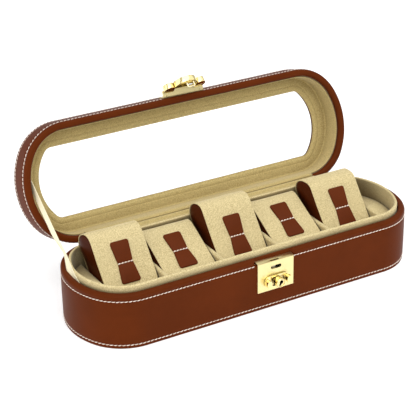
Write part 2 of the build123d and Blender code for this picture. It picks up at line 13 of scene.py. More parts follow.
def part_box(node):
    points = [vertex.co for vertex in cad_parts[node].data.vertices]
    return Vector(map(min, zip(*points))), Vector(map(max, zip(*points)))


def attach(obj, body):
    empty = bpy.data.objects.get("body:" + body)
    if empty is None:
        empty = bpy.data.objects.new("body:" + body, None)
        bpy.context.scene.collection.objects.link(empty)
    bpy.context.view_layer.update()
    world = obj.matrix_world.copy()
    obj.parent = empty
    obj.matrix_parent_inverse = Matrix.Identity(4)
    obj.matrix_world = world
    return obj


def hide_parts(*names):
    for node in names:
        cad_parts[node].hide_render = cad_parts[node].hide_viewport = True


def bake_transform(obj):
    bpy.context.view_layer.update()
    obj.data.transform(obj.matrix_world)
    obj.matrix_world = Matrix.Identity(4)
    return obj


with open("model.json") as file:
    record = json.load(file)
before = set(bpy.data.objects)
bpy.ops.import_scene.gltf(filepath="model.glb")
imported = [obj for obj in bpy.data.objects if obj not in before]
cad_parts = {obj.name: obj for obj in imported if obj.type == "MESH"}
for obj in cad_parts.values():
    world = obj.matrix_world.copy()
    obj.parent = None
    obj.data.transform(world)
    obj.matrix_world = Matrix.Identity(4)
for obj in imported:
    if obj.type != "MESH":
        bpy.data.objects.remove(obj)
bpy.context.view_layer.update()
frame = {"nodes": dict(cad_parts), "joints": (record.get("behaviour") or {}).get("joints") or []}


# ---- sizes from the frame, in metres
def joint_named(name):
    return next(joint for joint in frame["joints"] if joint["name"] == name)


def side_of(node, corner, axis):
    """One side of a node's box, to a hundredth of a millimetre; corner 0 is low and 1 is high."""
    return round(float(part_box(node)[corner][axis]), 5)


def middle_x(node):
    return round((side_of(node, 0, 0) + side_of(node, 1, 0)) / 2, 5)


MM = 0.001
HALF_LENGTH = side_of("base_leather", 1, 0)
HALF_DEPTH = side_of("base_leather", 1, 1)
BEAD_TOP = side_of("base_rim_bead", 1, 2)
LOCK_X = middle_x("lock_plate")
HASP_X = joint_named("hasp_hinge")["pos_m"][0]
_, HINGE_Y, HINGE_Z = joint_named("lid_hinge")["pos_m"]
LID_ANGLE = math.radians(-joint_named("lid_hinge")["range_deg"][0])
SLOT_SHIFT = middle_x("cushion_3_roll")
SLOT_PITCH = round(middle_x("cushion_4_roll") - SLOT_SHIFT, 5)
CUSHION_LENGTH = round(side_of("cushion_3_roll", 1, 0) - side_of("cushion_3_roll", 0, 0), 5)

# ---- sizes of the looks, in metres
BOX = dict(half_x=HALF_LENGTH, half_y=HALF_DEPTH, corner=0.044, end=0.0676)
WINDOW_INSET = 0.0221
WINDOW = dict(half_x=HALF_LENGTH - WINDOW_INSET, half_y=HALF_DEPTH - WINDOW_INSET,
              corner=0.009, end=0.046)
RIM_JOINT_Z = 0.0570  # where the closed lid's height is zero
STITCH_PITCH = 0.0036
SEAM_STITCH = dict(length=0.0033, width=0.00088)
TAB_STITCH = dict(length=0.0027, width=0.0013)

LID_COS = math.cos(LID_ANGLE)
LID_SIN = math.sin(LID_ANGLE)
RIM_ABOVE_HINGE = RIM_JOINT_Z - HINGE_Z
LID_ORIGIN = np.array([
    0.0,
    HINGE_Y - HINGE_Y * LID_COS + RIM_ABOVE_HINGE * LID_SIN,
    HINGE_Z + HINGE_Y * LID_SIN + RIM_ABOVE_HINGE * LID_COS,
])
LID_AXES = np.array([[1, 0, 0], [0, LID_COS, -LID_SIN], [0, LID_SIN, LID_COS]])


def lid_points(points):
    """Points of the closed lid (x, y, height over its zero plane), where the open lid has them."""
    return LID_ORIGIN + np.asarray(points, float) @ LID_AXES


def lid_point(x, y, height):
    return lid_points([[x, y, height]])[0]


def lid_section(y, height):
    """The same in the box's cross-section, as (y, z)."""
    return tuple(lid_point(0, y, height)[1:])


# ---- material helpers
def scaled(colour, share):
    return tuple(c * share for c in colour)


def set_sockets(node, **values):
    """Sockets by name, with an underscore for each space."""
    for socket, value in values.items():
        node.inputs[socket.replace("_", " ")].default_value = value


def add_node(tree, kind, **values):
    node = tree.nodes.new(kind)
    set_sockets(node, **values)
    return node


def new_material(name, colour, roughness, **values):
    """A node material. Values that are the same all over go straight on the shader's sockets."""
    mat = bpy.data.materials.new(name)
    mat.use_nodes = True
    tree = mat.node_tree
    shader = tree.nodes["Principled BSDF"]
    set_sockets(shader, Base_Color=(*colour, 1), Roughness=roughness, **values)
    return mat, tree, shader


def object_coordinates(tree, stretch=None):
    where = tree.nodes.new("ShaderNodeTexCoord").outputs["Object"]
    if stretch is None:
        return where
    mapping = add_node(tree, "ShaderNodeMapping", Scale=stretch)
    tree.links.new(where, mapping.inputs["Vector"])
    return mapping.outputs["Vector"]


def noise_value(tree, where, scale, detail=2.0, roughness=0.5):
    node = add_node(tree, "ShaderNodeTexNoise", Scale=scale, Detail=detail, Roughness=roughness)
    tree.links.new(where, node.inputs["Vector"])
    return node.outputs["Fac"]


def ramp(tree, value, *stops):
    """A colour ramp; each stop is (position, linear colour)."""
    node = tree.nodes.new("ShaderNodeValToRGB")
    band = node.color_ramp
    while len(band.elements) < len(stops):
        band.elements.new(0.5)
    for element, (position, colour) in zip(band.elements, stops):
        element.position = position
        element.color = (*colour, 1)
    tree.links.new(value, node.inputs["Fac"])
    return node.outputs["Color"]


def spread(tree, value, low, high, from_low=0.0, from_high=1.0):
    node = add_node(tree, "ShaderNodeMapRange", From_Min=from_low, From_Max=from_high,
                    To_Min=low, To_Max=high)
    tree.links.new(value, node.inputs["Value"])
    return node.outputs["Result"]


def mix_colours(tree, factor, first, second):
    """First where the factor is 0, second where it is 1."""
    node = tree.nodes.new("ShaderNodeMix")
    node.data_type = "RGBA"
    tree.links.new(factor, node.inputs["Factor"])
    colour_a, colour_b = 6, 7  # the sockets of a mix of colours
    for socket, source in ((colour_a, first), (colour_b, second)):
        if isinstance(source, tuple):
            node.inputs[socket].default_value = (*source, 1)
        else:
            tree.links.new(source, node.inputs[socket])
    colour_result = 2
    return node.outputs[colour_result]


def openness(tree, reach, sheltered, exposed):
    """0 in corners and hollows and 1 in the open, judged within reach of the surface; it sets where
    shade is painted.
    """
    node = add_node(tree, "ShaderNodeAmbientOcclusion", Distance=reach)
    node.samples = 12
    return spread(tree, node.outputs["AO"], 0.0, 1.0, sheltered, exposed)


def add_bump(tree, shader, *heights):
    """Chained bumps; each is (value, strength, distance in metres)."""
    normal = None
    for value, strength, distance in heights:
        node = add_node(tree, "ShaderNodeBump", Strength=strength, Distance=distance)
        tree.links.new(value, node.inputs["Height"])
        if normal is not None:
            tree.links.new(normal, node.inputs["Normal"])
        normal = node.outputs["Normal"]
    tree.links.new(normal, shader.inputs["Normal"])


# ---- materials
def leather(name, colour, worn, roughness=0.42, gloss=0.04):
    """Smooth calf leather: fine pebbled grain, cloudy dye and slightly paler worn edges."""
    mat, tree, shader = new_material(name, colour, roughness, Specular_IOR_Level=gloss)
    where = object_coordinates(tree)
    cells = add_node(tree, "ShaderNodeTexVoronoi", Scale=1500)
    tree.links.new(where, cells.inputs["Vector"])
    grain = noise_value(tree, where, scale=2600, detail=3, roughness=0.6)
    cloud = noise_value(tree, where, scale=28, detail=4, roughness=0.6)
    dyed = ramp(tree, cloud, (0.35, scaled(colour, 0.91)), (0.68, scaled(colour, 1.07)))
    edge = tree.nodes.new("ShaderNodeNewGeometry").outputs["Pointiness"]
    worn_share = spread(tree, edge, 0.0, 0.45, from_low=0.53, from_high=0.62)
    tree.links.new(mix_colours(tree, worn_share, dyed, worn), shader.inputs["Base Color"])
    tree.links.new(spread(tree, cloud, roughness - 0.06, roughness + 0.08),
                   shader.inputs["Roughness"])
    add_bump(tree, shader, (cells.outputs["Distance"], 0.22, 0.00012), (grain, 0.16, 0.00008))
    return mat


CORNER_SHADE = (0.24, 0.18, 0.10)  # how dark the painted shade in corners and creases of the pile is


def velour(name, dark, light):
    """Short-pile velour: speckled where the pile lies both ways, with brushed patches, and painted
    shade darkening its corners and creases.
    """
    mat, tree, shader = new_material(name, light, 0.95, Specular_IOR_Level=0.12,
                                     Sheen_Weight=0.35, Sheen_Roughness=0.45,
                                     Sheen_Tint=(1.0, 0.93, 0.72, 1))
    where = object_coordinates(tree)
    flecks = noise_value(tree, where, scale=1150, detail=3, roughness=0.6)
    fine = noise_value(tree, where, scale=2600)
    patches = noise_value(tree, where, scale=42, detail=3, roughness=0.55)
    base = ramp(tree, flecks, (0.372, dark), (0.596, light))
    brushed_share = spread(tree, patches, 0.0, 0.30, from_low=0.35, from_high=0.7)
    brushed = mix_colours(tree, brushed_share, base, scaled(light, 0.86))
    # painted shade: the colour darkens towards corners and creases, where less light reaches
    unshaded_share = openness(tree, reach=0.038, sheltered=0.12, exposed=0.68)
    corner_shade = tuple(c * s for c, s in zip(dark, CORNER_SHADE))
    tree.links.new(mix_colours(tree, unshaded_share, corner_shade, brushed), shader.inputs["Base Color"])
    add_bump(tree, shader, (patches, 0.12, 0.0006), (flecks, 0.25, 0.0003), (fine, 0.35, 0.0002))
    return mat


def metal(name, colour, roughness, brushed=0.0, hollow_shade=None):
    """Plated metal, with an optional dark colour painted into its insides and corners as shade."""
    mat, tree, shader = new_material(name, colour, roughness, Metallic=1.0)
    where = object_coordinates(tree, stretch=(1, 1, 30) if brushed else None)
    marks = noise_value(tree, where, scale=900, detail=3, roughness=0.6)
    waves = noise_value(tree, object_coordinates(tree), scale=160)
    smoothest = max(roughness - 0.04, 0.02)
    tree.links.new(spread(tree, marks, smoothest, roughness + 0.07 + brushed),
                   shader.inputs["Roughness"])
    tint = ramp(tree, waves, (0.3, scaled(colour, 0.95)), (0.7, colour))
    if hollow_shade:
        # painted shade: darker towards the insides and corners of the metal
        tint = mix_colours(tree, openness(tree, reach=0.006, sheltered=0.20, exposed=0.58),
                           hollow_shade, tint)
    tree.links.new(tint, shader.inputs["Base Color"])
    add_bump(tree, shader, (waves, 0.05, 0.0002), (marks, 0.03, 0.00005))
    return mat


def thread(name, colour, dark):
    """Waxed thread, a little uneven in tone."""
    mat, tree, shader = new_material(name, colour, 0.6, Sheen_Weight=0.2, Sheen_Roughness=0.4)
    where = object_coordinates(tree)
    fibre = noise_value(tree, where, scale=3200, detail=3, roughness=0.6)
    tone = noise_value(tree, where, scale=260)
    tree.links.new(ramp(tree, tone, (0.3, dark), (0.62, colour)), shader.inputs["Base Color"])
    add_bump(tree, shader, (fibre, 0.5, 0.0001))
    return mat


def satin(name, colour):
    """Woven ribbon: fine ribs across it, and a soft sheen."""
    mat, tree, shader = new_material(name, colour, 0.5, Sheen_Weight=0.3, Sheen_Roughness=0.3)
    where = object_coordinates(tree)
    ribs = add_node(tree, "ShaderNodeTexWave", Scale=620, Distortion=0.6)
    ribs.bands_direction = "DIAGONAL"
    tree.links.new(where, ribs.inputs["Vector"])
    threads = noise_value(tree, where, scale=1500)
    base = ramp(tree, threads, (0.3, scaled(colour, 0.93)), (0.7, colour))
    tree.links.new(base, shader.inputs["Base Color"])
    add_bump(tree, shader, (ribs.outputs["Fac"], 0.25, 0.00008), (threads, 0.2, 0.00006))
    return mat


def fibreboard(name, colour):
    """Plain pressed board with short fibres."""
    mat, tree, shader = new_material(name, colour, 0.85)
    fibres = noise_value(tree, object_coordinates(tree), scale=700, detail=4, roughness=0.7)
    base = ramp(tree, fibres, (0.3, scaled(colour, 0.8)), (0.7, colour))
    tree.links.new(base, shader.inputs["Base Color"])
    add_bump(tree, shader, (fibres, 0.3, 0.0002))
    return mat


def clear(name):
    """A clear pane: see-through, with a thin gloss that grows at a glancing angle."""
    mat = bpy.data.materials.new(name)
    mat.use_nodes = True
    tree = mat.node_tree
    tree.nodes.clear()
    output = tree.nodes.new("ShaderNodeOutputMaterial")
    through = add_node(tree, "ShaderNodeBsdfTransparent", Color=(0.995, 1.0, 0.998, 1))
    gloss = tree.nodes.new("ShaderNodeBsdfGlossy")
    smear = noise_value(tree, object_coordinates(tree), scale=60, detail=3)
    tree.links.new(spread(tree, smear, 0.01, 0.05), gloss.inputs["Roughness"])
    facing = add_node(tree, "ShaderNodeLayerWeight", Blend=0.5)
    steep = tree.nodes.new("ShaderNodeMath")
    steep.operation = "POWER"
    steep.inputs[1].default_value = 4.0
    tree.links.new(facing.outputs["Facing"], steep.inputs[0])
    mix = tree.nodes.new("ShaderNodeMixShader")
    tree.links.new(spread(tree, steep.outputs["Value"], 0.0, 0.45), mix.inputs["Fac"])
    tree.links.new(through.outputs["BSDF"], mix.inputs[1])
    tree.links.new(gloss.outputs["BSDF"], mix.inputs[2])
    tree.links.new(mix.outputs["Shader"], output.inputs["Surface"])
    return mat


SADDLE = leather("saddle_leather", (0.106, 0.0200, 0.0028), worn=(0.205, 0.058, 0.016))
TAB = leather("tab_leather", (0.118, 0.0230, 0.0044), worn=(0.180, 0.050, 0.015),
              roughness=0.5, gloss=0.06)
# darker than the saddle leather: painted shade on the cheeks, which stand in their neighbours'
# shadow
SHADED_CHEEK = leather("cheek_leather", (0.066, 0.0115, 0.0022), worn=(0.10, 0.024, 0.008),
                roughness=0.36, gloss=0.05)
VELOUR = velour("cream_velour", dark=(0.46, 0.365, 0.175), light=(0.75, 0.625, 0.340))
# a darker copy of the cream velour: painted shade on the lid's lining and the hinge strip
SHADED_VELOUR = velour("shaded_lid_velour", dark=(0.375, 0.285, 0.110), light=(0.590, 0.465, 0.205))
# gilt with dark brown painted shade in its insides and corners
GILT = metal("gilt", (0.95, 0.80, 0.39), roughness=0.12, hollow_shade=(0.045, 0.018, 0.004))
PLATE_GILT = metal("plate_gilt", (0.93, 0.79, 0.40), roughness=0.32)
BRIGHT_GILT = metal("bright_gilt", (0.98, 0.90, 0.62), roughness=0.12)
STEEL = metal("zinc_steel", (0.62, 0.61, 0.58), roughness=0.3, brushed=0.1)
THREAD = thread("ivory_thread", (0.95, 0.83, 0.72), dark=(0.74, 0.58, 0.46))
RIBBON = satin("ribbon_satin", (0.97, 0.88, 0.60))
BOARD = fibreboard("fibreboard", (0.42, 0.29, 0.17))
CLOTH = velour("underside_cloth", dark=(0.06, 0.028, 0.015), light=(0.11, 0.055, 0.03))
PANE = clear("clear_pane")


def new_object(name, data):
    obj = bpy.data.objects.new(name, data)
    bpy.context.scene.collection.objects.link(obj)
    return obj


def settle(obj, body, nodes):
    """Hang a piece on the empty of the body it rides on, and hide the CAD parts it stands for."""
    if body:
        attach(obj, body)
    if nodes:
        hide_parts(*nodes)


def add_mesh(name, vertices, faces, mat, body=None, nodes=()):
    """A new piece; one without a body is left without a parent."""
    mesh = bpy.data.meshes.new(name)
    mesh.from_pydata([tuple(v) for v in vertices], [], faces)
    mesh.validate()
    work = bmesh.new()
    work.from_mesh(mesh)
    bmesh.ops.recalc_face_normals(work, faces=work.faces)
    work.to_mesh(mesh)
    work.free()
    mesh.materials.append(mat)
    mesh.shade_smooth()
    obj = new_object(name, mesh)
    settle(obj, body, nodes)
    return obj


def grid_faces(row_count, column_count, wrap_columns, wrap_rows=False, start=0):
    """Quads between rows of vertices."""
    faces = []
    for r in range(row_count if wrap_rows else row_count - 1):
        low = start + r * column_count
        high = start + ((r + 1) % row_count) * column_count
        for c in range(column_count if wrap_columns else column_count - 1):
            n = (c + 1) % column_count
            faces.append((low + c, low + n, high + n, high + c))
    return faces


def row_cap(row, column_count, start=0):
    """One face that closes a loft at a row."""
    first = start + row * column_count
    return tuple(range(first, first + column_count))


def coordinates(mesh):
    flat = np.empty(len(mesh.vertices) * 3, np.float32)
    mesh.vertices.foreach_get("co", flat)
    return flat.reshape(-1, 3).astype(float)


def set_coordinates(mesh, points):
    mesh.vertices.foreach_set("co", np.asarray(points, np.float32).ravel())
    mesh.update()


def soften(obj, amount, scale, seed):
    """Small hand-made unevenness along the normals."""
    points = coordinates(obj.data)
    for i, vertex in enumerate(obj.data.vertices):
        where = vertex.co * scale + Vector((seed, seed * 0.7, -seed))
        points[i] += np.array(vertex.normal) * noise.noise(where) * amount
    set_coordinates(obj.data, points)


def distances(points):
    """How far along a line of points each point is."""
    steps = np.linalg.norm(np.diff(points, axis=0), axis=1)
    return np.concatenate([[0], np.cumsum(steps)])


def read_at(wanted, along, values):
    """Values at the wanted distances along a line."""
    return np.stack([np.interp(wanted, along, values[:, k]) for k in range(values.shape[1])], 1)


def close_loop(points):
    return np.vstack([points, points[:1]])


def resample(points, count):
    """Evenly spaced points round a closed outline."""
    closed = close_loop(points)
    along = distances(closed)
    return read_at(np.arange(count) * along[-1] / count, along, closed)


class Outline:
    """The plan of round corners and flatter round ends, which can be inset by any distance."""

    ARC_STEPS = 26
    LINE_STEPS = 34

    def __init__(self, half_x, half_y, corner, end):
        steps = self.ARC_STEPS
        end_x = half_x - end
        corner_y = half_y - corner
        corner_x = end_x + math.sqrt((end - corner) ** 2 - corner_y ** 2)
        meet = math.atan2(corner_y, corner_x - end_x)
        turn = math.pi / 2 - meet
        quarter = [(end_x, 0.0, end, meet * i / steps) for i in range(steps)]
        quarter += [(corner_x, corner_y, corner, meet + turn * i / steps) for i in range(steps)]
        quarter += [(corner_x * (1 - i / self.LINE_STEPS), corner_y, corner, math.pi / 2)
                    for i in range(self.LINE_STEPS + 1)]
        rows = list(quarter)
        rows += [(-x, y, r, math.pi - a) for x, y, r, a in reversed(quarter[1:-1])]
        rows += [(-x, -y, r, math.pi + a) for x, y, r, a in quarter]
        rows += [(x, -y, r, -a) for x, y, r, a in reversed(quarter[1:-1])]
        data = np.array(rows)
        self.centre = data[:, :2]
        self.radius = data[:, 2]
        self.normal = np.stack([np.cos(data[:, 3]), np.sin(data[:, 3])], 1)

    def ring(self, inset):
        """Plan points, inset by one distance or by one distance for each point."""
        return self.centre + (self.radius - inset)[:, None] * self.normal

    def length(self):
        return distances(close_loop(self.ring(0)))[-1]

    def even(self, inset, count):
        """Evenly spaced points with their outward normals."""
        closed = close_loop(self.ring(inset))
        along = distances(closed)
        wanted = np.arange(count) * along[-1] / count
        facing = read_at(wanted, along, close_loop(self.normal))
        return read_at(wanted, along, closed), facing / np.linalg.norm(facing, axis=1)[:, None]


PLAN = Outline(**BOX)
OPENING = Outline(**WINDOW)


def at_height(points, height):
    heights = np.broadcast_to(np.asarray(height, float), (len(points),))
    return np.column_stack([points, heights])


def ring_piece(name, rows, mat, body, nodes, closed=True):
    """A band round the box, lofted through rows of points; the lid's are given as it is shut."""
    points = np.vstack(rows)
    if body == "lid":
        points = lid_points(points)
    return add_mesh(name, points, grid_faces(len(rows), len(rows[0]), True, closed), mat, body,
                    nodes)


def profile_rows(profile, outline=PLAN):
    """Rows round an outline from (inset, height) pairs in millimetres."""
    return [at_height(outline.ring(inset * MM), height * MM) for inset, height in profile]


def panel_rows(outer, inner, count, height, crown=0.0):
    """Rows across a panel from its outer to its inner edge, swollen by crown at the middle."""
    return [at_height(outer * (1 - t) + inner * t, height + crown * math.sin(math.pi * t))
            for t in np.linspace(0, 1, count)]


def arc(centre, radii, start, end, steps):
    """Points of a round or oval arc in a profile, angles in degrees."""
    angles = np.radians(np.linspace(start, end, steps + 1))
    return [(centre[0] + radii[0] * math.cos(a), centre[1] + radii[1] * math.sin(a))
            for a in angles]


def filled_pad(name, outline, levels, nodes):
    """A velour pad from its outline: levels are (share of the way to the middle, height)."""
    middle = outline.mean(0)
    rows = [at_height(outline + (middle - outline) * share, height) for share, height in levels]
    faces = grid_faces(len(rows), len(outline), True)
    faces.append(row_cap(len(rows) - 1, len(outline)))
    return add_mesh(name, np.vstack(rows), faces, VELOUR, "base", nodes)


# ---- stitches
STITCH_SECTIONS = 7
STITCH_SIDES = 6
STITCH_SINK = 0.35  # how far the thread's ends pull in
STITCH_FLATNESS = 0.8


def stitch_mesh(name, places, length, width, body, nodes=(), slant=0.16):
    """Raised saddle stitches; each place is (middle, direction along the seam, outward)."""
    vertices, faces = [], []
    for number, (middle, along, out) in enumerate(places):
        along, out = np.array(along), np.array(out)
        across = np.cross(out, along)
        lean = slant + 0.05 * math.sin(number * 2.3)
        direction = along * math.cos(lean) + across * math.sin(lean)
        across = np.cross(out, direction)
        start = len(vertices)
        for section in range(STITCH_SECTIONS):
            t = section / (STITCH_SECTIONS - 1)
            bow = math.sin(math.pi * t)
            thick = width / 2 * (0.42 + 0.58 * bow ** 0.6)
            lift = out * (bow ** 0.7 - STITCH_SINK) * width / 2
            centre = middle + direction * (t - 0.5) * length + lift
            for k in range(STITCH_SIDES):
                a = 2 * math.pi * k / STITCH_SIDES
                vertices.append(centre + across * math.cos(a) * thick
                                + out * math.sin(a) * thick * STITCH_FLATNESS)
        faces += grid_faces(STITCH_SECTIONS, STITCH_SIDES, True, start=start)
        faces.append(row_cap(0, STITCH_SIDES, start))
        faces.append(row_cap(STITCH_SECTIONS - 1, STITCH_SIDES, start))
    add_mesh(name, vertices, faces, THREAD, body, nodes)


def everywhere(x, y):
    return True


def seam_places(height, surface_inset, keep=everywhere, in_lid=False):
    """Stitch places round the box's plan, where keep(x, y) says so."""
    points, normals = PLAN.even(surface_inset, round(PLAN.length() / STITCH_PITCH))
    places = []
    for (x, y), (nx, ny) in zip(points, normals):
        if not keep(x, y):
            continue
        middle, along, out = (x, y, height), (-ny, nx, 0), (nx, ny, 0)
        if in_lid:
            middle = lid_point(*middle)
            along = (np.array([along]) @ LID_AXES)[0]
            out = (np.array([out]) @ LID_AXES)[0]
        places.append((np.array(middle), along, out))
    return places


# ---- base
LOCK_HALF = 0.0194  # half the lock plate, with a little room
POCKET_HALF, POCKET_LOW, POCKET_TOP = 0.009, 0.037, 0.044  # behind the plate's slot
LIP_BACK_INSET, CUT_TOP = 4.35, 50.9  # the rim behind the lock's lip, in mm
LIP_FADE = 0.0008

SIDE_PROFILE = [  # (inset, height), in mm, as in all the profiles
    (2.2, 0.0), (0.9, 0.0), (0.3, 0.25), (0.06, 0.9), (0.02, 1.8), (0.22, 2.8), (0.40, 3.4),
    (0.24, 4.0), (0.02, 5.2), (-0.05, 8.0), (-0.08, 15.0), (-0.10, 25.0), (-0.08, 35.0),
    (-0.06, 39.0), (-0.02, 42.0), (0.04, 43.8), (0.25, 44.7), (0.50, 45.4), (0.85, 45.7),
    (3.0, 45.72),
]
BEAD_PROFILE = [(0.7, 45.4), (0.32, 45.9)]
BEAD_PROFILE += arc((2.75, 48.55), (2.65, 2.85), 205, 90, 16)
BEAD_PROFILE += arc((4.15, 48.55), (2.65, 2.85), 90, -30, 12)
BEAD_PROFILE += [(6.6, 45.8), (3.6, 45.4)]
COLLAR_PROFILE = [(7.55, 5.4), (7.5, 20.0), (7.5, 44.0), (7.42, 51.0), (7.45, 54.4)]
COLLAR_PROFILE += arc((8.75, 55.0), (1.25, 1.25), 180, 0, 10)
COLLAR_PROFILE += [(10.0, 54.0), (9.95, 44.0), (9.95, 20.0), (9.95, 7.2), (9.0, 5.4)]
FLOOR_INSET = 0.0102
FLOOR_LEVELS = [(0.0, 0.0053), (0.0, 0.0066), (0.004, 0.0071), (0.012, 0.0072), (0.5, 0.0072),
                (0.9, 0.0072)]
FLOOR_TOP = 0.0072
PLATFORM_INSET = 0.0104
PLATFORM_LEVELS = [
    (0.0, FLOOR_TOP), (0.0, 0.025), (0.0, 0.0368), (0.010, 0.0382), (0.035, 0.0390),
    (0.09, 0.0394), (0.2, 0.0398), (0.4, 0.0402), (0.7, 0.0404), (0.93, 0.0404),
]
DIVIDER_HALF = 0.00225
DIVIDER_HALF_LENGTH = 0.0450
DIVIDER_SIDE = [(-DIVIDER_HALF, FLOOR_TOP), (-DIVIDER_HALF, 0.020), (-DIVIDER_HALF, 0.0350),
                (-DIVIDER_HALF, 0.0372)]


def behind_slot(face):
    centre = face.calc_center_median()
    return (centre.y < 0 and abs(centre.x - LOCK_X) < POCKET_HALF
            and POCKET_LOW < centre.z < POCKET_TOP)


def base_side():
    """The outer leather, pressed in along its lower seam and open behind the lock's slot."""
    piece = ring_piece("base_side_leather", profile_rows(SIDE_PROFILE), SADDLE, "base",
                       ["base_leather"], closed=False)
    work = bmesh.new()
    work.from_mesh(piece.data)
    pocket = [face for face in work.faces if behind_slot(face)]
    bmesh.ops.delete(work, geom=pocket, context="FACES")
    work.to_mesh(piece.data)
    work.free()
    soften(piece, 0.00012, 38, seed=3.1)


def base_rim():
    """The rolled rim, with its outer half cut away behind the lock plate's lip."""
    plan = PLAN.ring(0.0)
    share = np.clip((LOCK_HALF + LIP_FADE - np.abs(plan[:, 0] - LOCK_X)) / LIP_FADE, 0, 1)
    share = np.where(plan[:, 1] < 0, share, 0.0)
    rows = []
    for inset, height in BEAD_PROFILE:
        cut_inset = max(inset, LIP_BACK_INSET)
        cut_height = min(height, CUT_TOP) if inset < LIP_BACK_INSET else height
        insets = (inset + (cut_inset - inset) * share) * MM
        rows.append(at_height(PLAN.ring(insets), (height + (cut_height - height) * share) * MM))
    rim = ring_piece("base_rim_roll", rows, SADDLE, "base", ["base_rim_bead"])
    soften(rim, 0.00010, 60, seed=1.7)


def beside_lock(x, y):
    return y > 0 or abs(x - LOCK_X) > LOCK_HALF


def base_seams():
    places = seam_places(0.0454, 0.00035, beside_lock)
    places += seam_places(0.0034, 0.00032)
    stitch_mesh("base_stitches", places, **SEAM_STITCH, body="base", nodes=["base_stitching"])


def base_collar():
    """The velour wall inside the rim."""
    collar = ring_piece("base_collar_velour", profile_rows(COLLAR_PROFILE), VELOUR, "base",
                        ["lining_collar"])
    soften(collar, 0.00022, 55, seed=8.2)


def end_platform(side, node):
    """The padded half-moon at one end; side is -1 on the left and 1 on the right."""
    face_x = SLOT_SHIFT + side * (2.5 * SLOT_PITCH - DIVIDER_HALF)
    inside = np.array([p for p in PLAN.ring(PLATFORM_INSET) if side * (p[0] - face_x) > 0])
    turn = np.arctan2(inside[:, 1], side * (inside[:, 0] - side * 0.10))
    edge = inside[np.argsort(turn)]
    outline = np.vstack([[[face_x, edge[0][1]]], edge, [[face_x, edge[-1][1]]]])
    pad = filled_pad(node + "_pad", resample(outline, 120), PLATFORM_LEVELS, [node])
    soften(pad, 0.0003, 60, seed=5.0 + side)


def divider(number):
    """A partition with a rounded top, covered in velour."""
    centre_x = SLOT_SHIFT + (number - 2.5) * SLOT_PITCH
    section = list(DIVIDER_SIDE)
    section += arc((0, 0.0374), (DIVIDER_HALF, 0.0021), 169.2, 10.8, 8)
    section += [(-x, z) for x, z in reversed(DIVIDER_SIDE)]
    rows = [[(centre_x + x, y, z) for x, z in section]
            for y in np.linspace(-DIVIDER_HALF_LENGTH, DIVIDER_HALF_LENGTH, 44)]
    faces = grid_faces(len(rows), len(section), True)
    faces += [row_cap(0, len(section)), row_cap(len(rows) - 1, len(section))]
    wall = add_mesh(f"divider_{number}_velour", np.vstack(rows), faces, VELOUR, "base",
                    [f"divider_{number}"])
    soften(wall, 0.0002, 70, seed=number)


def make_base():
    base_side()
    base_rim()
    base_seams()
    base_collar()
    filled_pad("base_floor_velour", PLAN.ring(FLOOR_INSET), FLOOR_LEVELS, ["floor_pad"])
    end_platform(-1, "platform_left")
    end_platform(1, "platform_right")
    for number in range(1, 5):
        divider(number)


# ---- lid
SPINE_HALF = 0.118
HASP_GAP_HALF = 0.0221  # the seam stops beside the hasp's flange
LID_SIDE_PROFILE = [
    (2.5, -0.5), (0.75, -0.5), (0.42, -0.2), (0.12, 0.6), (0.0, 1.8), (-0.04, 5.0),
    (-0.08, 10.0), (-0.04, 15.0), (0.0, 17.4), (0.2, 18.2), (0.34, 18.8), (0.2, 19.4),
    (0.05, 20.2), (0.12, 21.3), (0.45, 22.1), (1.0, 22.6), (1.8, 22.8),
]
LID_REVEAL_PROFILE = [(-0.4, 22.7), (0.15, 22.35), (0.4, 21.7), (0.4, 20.5)]
LID_BEAD_PROFILE = [(0.7, 0.2), (0.30, -0.6)]
LID_BEAD_PROFILE += arc((2.7, -2.7), (2.6, 2.6), 165, 270, 12)
LID_BEAD_PROFILE += arc((4.1, -2.7), (2.6, 2.6), 270, 380, 12)
LID_BEAD_PROFILE += [(6.5, -0.2), (3.5, 0.3)]
LID_WALL_PROFILE = [
    (6.85, 1.0), (6.9, 0.2), (7.15, -0.3), (7.5, -0.42), (7.85, -0.2), (8.0, 0.6),
    (8.0, 4.0), (8.02, 9.0), (8.0, 14.0), (8.05, 17.0), (8.3, 17.9), (8.9, 18.35),
]
LID_FRAME_PROFILE = [
    (-5.9, 18.42), (-5.5, 18.52), (-5.2, 18.54), (-4.9, 18.46), (-4.4, 18.32), (-3.6, 18.24),
    (-2.6, 18.22), (-1.8, 18.28), (-1.3, 18.5), (-1.12, 18.8), (-1.0, 19.05), (-0.5, 19.12),
    (0.7, 19.12),
]


def lid_cover():
    """The leather of the lid's side and top, turned in at the window."""
    rows = profile_rows(LID_SIDE_PROFILE)
    rows += panel_rows(PLAN.ring(0.0030), OPENING.ring(-0.0012), 9, 0.0228, crown=0.00035)
    rows += profile_rows(LID_REVEAL_PROFILE, OPENING)
    cover = ring_piece("lid_cover_leather", rows, SADDLE, "lid",
                       ["lid_leather", "lid_top_leather"], closed=False)
    soften(cover, 0.00012, 38, seed=2.2)


def lid_rim():
    rim = ring_piece("lid_rim_roll", profile_rows(LID_BEAD_PROFILE), SADDLE, "lid",
                     ["lid_rim_bead"])
    soften(rim, 0.00010, 60, seed=6.3)


def lid_lining():
    """The velour of the lid's wall and of the frame round the window, with a low ridge."""
    rows = profile_rows(LID_WALL_PROFILE)
    rows += panel_rows(PLAN.ring(0.0096), OPENING.ring(-0.0066), 7, 0.0184)
    rows += profile_rows(LID_FRAME_PROFILE, OPENING)
    # the darker velour paints shade on the lid's lining
    lining = ring_piece("lid_lining_velour", rows, SHADED_VELOUR, "lid",
                        ["lid_wall_lining", "lid_frame_lining"], closed=False)
    soften(lining, 0.0002, 50, seed=4.4)


def beside_fittings(x, y):
    return abs(x) > SPINE_HALF + 0.001 if y > 0 else abs(x - HASP_X) > HASP_GAP_HALF


